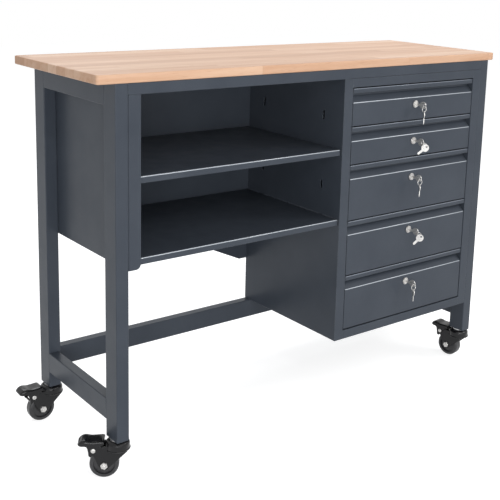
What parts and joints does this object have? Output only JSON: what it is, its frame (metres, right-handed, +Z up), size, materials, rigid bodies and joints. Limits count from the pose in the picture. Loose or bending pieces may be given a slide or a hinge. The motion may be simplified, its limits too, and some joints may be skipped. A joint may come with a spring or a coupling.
{
  "type": "jewelers workbench",
  "caption": "Mobile jewelers bench: tube frame on braked swivel casters, butcher-block top, open shelf bay and a pedestal of locking drawers.",
  "frame": {"origin": "centre of the bench's outline on the floor, keys included", "axes": "+X to the right as seen from the front, along the bench; +Y from the front to the back; +Z up"},
  "size_m": [1.2454, 0.4596, 0.9],
  "materials": {
    "powder_coat": "satin powder coat, fine orange peel",
    "worktop": "clear-lacquered laminated staves",
    "zinc": "zinc plated",
    "chrome": "nickel plated",
    "caster_black": "gloss black",
    "pedal_black": "gloss black",
    "wheel": "moulded, dull"
  },
  "bodies": {
    "bench": {"back_panel": "powder_coat", "caster_stems": "zinc", "drawer_face_frame": "powder_coat", "drawer_slides": "zinc", "left_side_panel": "powder_coat", "leg_front_left": "powder_coat", "leg_front_right": "powder_coat", "leg_inserts": "zinc", "leg_rear_left": "powder_coat", "leg_rear_right": "powder_coat", "lower_rail_left": "powder_coat", "lower_rail_rear": "powder_coat", "lower_rail_right": "powder_coat", "pedestal_back": "powder_coat", "pedestal_floor": "powder_coat", "pedestal_gusset": "powder_coat", "pedestal_left_side": "powder_coat", "pedestal_right_side": "powder_coat", "shelf_clips": "zinc", "shelf_lower": "powder_coat", "shelf_upper": "powder_coat", "slide_uprights": "zinc", "top_rail_front": "powder_coat", "top_rail_left": "powder_coat", "top_rail_rear": "powder_coat", "top_rail_right": "powder_coat", "worktop": "worktop", "worktop_screws": "zinc"},
    "drawer_1": {"drawer_front_1": "powder_coat", "drawer_tray_1": "powder_coat", "lock_body_1": "chrome"},
    "lock_1": {"lock_keys_1": "chrome"},
    "drawer_2": {"drawer_front_2": "powder_coat", "drawer_tray_2": "powder_coat", "lock_body_2": "chrome"},
    "lock_2": {"lock_keys_2": "chrome"},
    "drawer_3": {"drawer_front_3": "powder_coat", "drawer_tray_3": "powder_coat", "lock_body_3": "chrome"},
    "lock_3": {"lock_keys_3": "chrome"},
    "drawer_4": {"drawer_front_4": "powder_coat", "drawer_tray_4": "powder_coat", "lock_body_4": "chrome"},
    "lock_4": {"lock_keys_4": "chrome"},
    "drawer_5": {"drawer_front_5": "powder_coat", "drawer_tray_5": "powder_coat", "lock_body_5": "chrome"},
    "lock_5": {"lock_keys_5": "chrome"},
    "caster_front_left": {"caster_fork_front_left": "caster_black"},
    "wheel_front_left": {"caster_wheel_front_left": "wheel"},
    "brake_front_left": {"brake_pedal_front_left": "pedal_black"},
    "caster_front_right": {"caster_fork_front_right": "caster_black"},
    "wheel_front_right": {"caster_wheel_front_right": "wheel"},
    "brake_front_right": {"brake_pedal_front_right": "pedal_black"},
    "caster_rear_left": {"caster_fork_rear_left": "caster_black"},
    "wheel_rear_left": {"caster_wheel_rear_left": "wheel"},
    "brake_rear_left": {"brake_pedal_rear_left": "pedal_black"},
    "caster_rear_right": {"caster_fork_rear_right": "caster_black"},
    "wheel_rear_right": {"caster_wheel_rear_right": "wheel"},
    "brake_rear_right": {"brake_pedal_rear_right": "pedal_black"}
  },
  "joints": [
    {"name": "drawer_1_slide", "type": "slide", "parent": "bench", "child": "drawer_1", "axis": [0, -1, 0], "range_m": [0, 0.24]},
    {"name": "lock_1_turn", "type": "hinge", "parent": "drawer_1", "child": "lock_1", "pos_m": [0.32373, -0.17519, 0.777], "axis": [0, 1, 0], "range_deg": [0, 90]},
    {"name": "drawer_2_slide", "type": "slide", "parent": "bench", "child": "drawer_2", "axis": [0, -1, 0], "range_m": [0, 0.24]},
    {"name": "lock_2_turn", "type": "hinge", "parent": "drawer_2", "child": "lock_2", "pos_m": [0.32373, -0.17519, 0.68], "axis": [0, 1, 0], "range_deg": [0, 90]},
    {"name": "drawer_3_slide", "type": "slide", "parent": "bench", "child": "drawer_3", "axis": [0, -1, 0], "range_m": [0, 0.24]},
    {"name": "lock_3_turn", "type": "hinge", "parent": "drawer_3", "child": "lock_3", "pos_m": [0.32373, -0.17519, 0.583], "axis": [0, 1, 0], "range_deg": [0, 90]},
    {"name": "drawer_4_slide", "type": "slide", "parent": "bench", "child": "drawer_4", "axis": [0, -1, 0], "range_m": [0, 0.24]},
    {"name": "lock_4_turn", "type": "hinge", "parent": "drawer_4", "child": "lock_4", "pos_m": [0.32373, -0.17519, 0.438], "axis": [0, 1, 0], "range_deg": [0, 90]},
    {"name": "drawer_5_slide", "type": "slide", "parent": "bench", "child": "drawer_5", "axis": [0, -1, 0], "range_m": [0, 0.24]},
    {"name": "lock_5_turn", "type": "hinge", "parent": "drawer_5", "child": "lock_5", "pos_m": [0.32373, -0.17519, 0.293], "axis": [0, 1, 0], "range_deg": [0, 90]},
    {"name": "caster_front_left_swivel", "type": "hinge", "parent": "bench", "child": "caster_front_left", "pos_m": [-0.53627, -0.15119, 0.09], "axis": [0, 0, 1], "continuous": true},
    {"name": "wheel_front_left_roll", "type": "hinge", "parent": "caster_front_left", "child": "wheel_front_left", "pos_m": [-0.56087, -0.13582, 0.0325], "axis": [-0.5299, -0.848, 0], "continuous": true},
    {"name": "brake_front_left_press", "type": "hinge", "parent": "caster_front_left", "child": "brake_front_left", "pos_m": [-0.58037, -0.12363, 0.07], "axis": [-0.5299, -0.848, 0], "range_deg": [0, 10]},
    {"name": "caster_front_right_swivel", "type": "hinge", "parent": "bench", "child": "caster_front_right", "pos_m": [0.58873, -0.15119, 0.09], "axis": [0, 0, 1], "continuous": true},
    {"name": "wheel_front_right_roll", "type": "hinge", "parent": "caster_front_right", "child": "wheel_front_right", "pos_m": [0.58469, -0.12247, 0.0325], "axis": [-0.9903, -0.1392, 0], "continuous": true},
    {"name": "brake_front_right_press", "type": "hinge", "parent": "caster_front_right", "child": "brake_front_right", "pos_m": [0.58149, -0.09969, 0.07], "axis": [-0.9903, -0.1392, 0], "range_deg": [0, 10]},
    {"name": "caster_rear_left_swivel", "type": "hinge", "parent": "bench", "child": "caster_rear_left", "pos_m": [-0.53627, 0.18882, 0.09], "axis": [0, 0, 1], "continuous": true},
    {"name": "wheel_rear_left_roll", "type": "hinge", "parent": "caster_rear_left", "child": "wheel_rear_left", "pos_m": [-0.56525, 0.18983, 0.0325], "axis": [-0.0349, -0.9994, 0], "continuous": true},
    {"name": "brake_rear_left_press", "type": "hinge", "parent": "caster_rear_left", "child": "brake_rear_left", "pos_m": [-0.58824, 0.19063, 0.07], "axis": [-0.0349, -0.9994, 0], "range_deg": [0, 10]},
    {"name": "caster_rear_right_swivel", "type": "hinge", "parent": "bench", "child": "caster_rear_right", "pos_m": [0.58873, 0.18882, 0.09], "axis": [0, 0, 1], "continuous": true},
    {"name": "wheel_rear_right_roll", "type": "hinge", "parent": "caster_rear_right", "child": "wheel_rear_right", "pos_m": [0.56072, 0.19632, 0.0325], "axis": [-0.2588, -0.9659, 0], "continuous": true},
    {"name": "brake_rear_right_press", "type": "hinge", "parent": "caster_rear_right", "child": "brake_rear_right", "pos_m": [0.5385, 0.20227, 0.07], "axis": [-0.2588, -0.9659, 0], "range_deg": [0, 10]}
  ]
}
